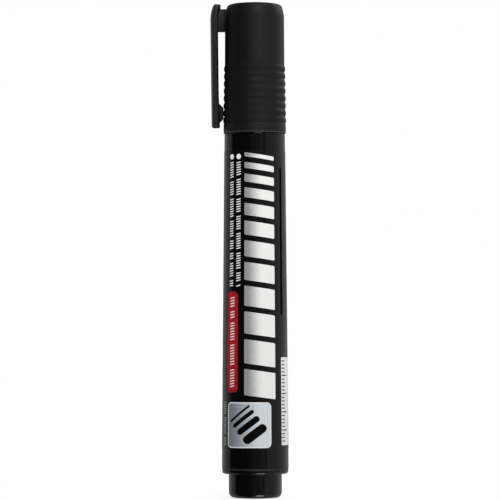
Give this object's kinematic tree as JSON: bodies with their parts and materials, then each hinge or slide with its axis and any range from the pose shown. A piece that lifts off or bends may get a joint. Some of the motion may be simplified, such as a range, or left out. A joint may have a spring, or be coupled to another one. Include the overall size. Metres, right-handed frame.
{
  "type": "permanent marker",
  "caption": "Capped permanent marker with a tapered barrel, printed wrap, ringed push-on cap, flexing pocket clip, sealing liner, round fibre nib and fibre reservoir.",
  "frame": {"origin": "centre of the flat end of the tail, on which the marker stands", "axes": "+Z along the axis from the tail to the cap; the clip is on the -X side; the front of the printed wrap faces -Y"},
  "size_m": [0.0216, 0.0186, 0.137],
  "materials": {
    "cap_plastic": "fine moulded texture, matte black",
    "barrel_plastic": "polished black",
    "wrap_film": "satin black film with silver, white and red print",
    "holder_plastic": "smooth black",
    "nib_fibre": "bonded fibre soaked with black ink",
    "core_fibre": "soft fibre soaked with black ink",
    "core_film_plastic": "thin milky film",
    "liner_plastic": "natural soft plastic, slightly waxy"
  },
  "bodies": {
    "barrel": {"barrel": "barrel_plastic", "printed_wrap": "wrap_film", "nib_holder": "holder_plastic", "nib": "nib_fibre", "ink_core": "core_fibre", "core_film": "core_film_plastic", "tail_plug": "barrel_plastic"},
    "inner_cap": {"inner_cap": "liner_plastic"},
    "cap": {"cap": "cap_plastic"},
    "clip": {"clip": "cap_plastic"}
  },
  "joints": [
    {"name": "cap_pull", "type": "slide", "parent": "barrel", "child": "inner_cap", "axis": [0, 0, 1], "range_m": [0, 0.04]},
    {"name": "cap_twist", "type": "hinge", "parent": "inner_cap", "child": "cap", "pos_m": [0, 0, 0.12], "axis": [0, 0, 1], "continuous": true},
    {"name": "clip_flex", "type": "hinge", "parent": "cap", "child": "clip", "pos_m": [-0.01123, 0, 0.1294], "axis": [0, 1, 0], "range_deg": [0, 5], "stiffness_Nm_per_rad": 0.41}
  ]
}
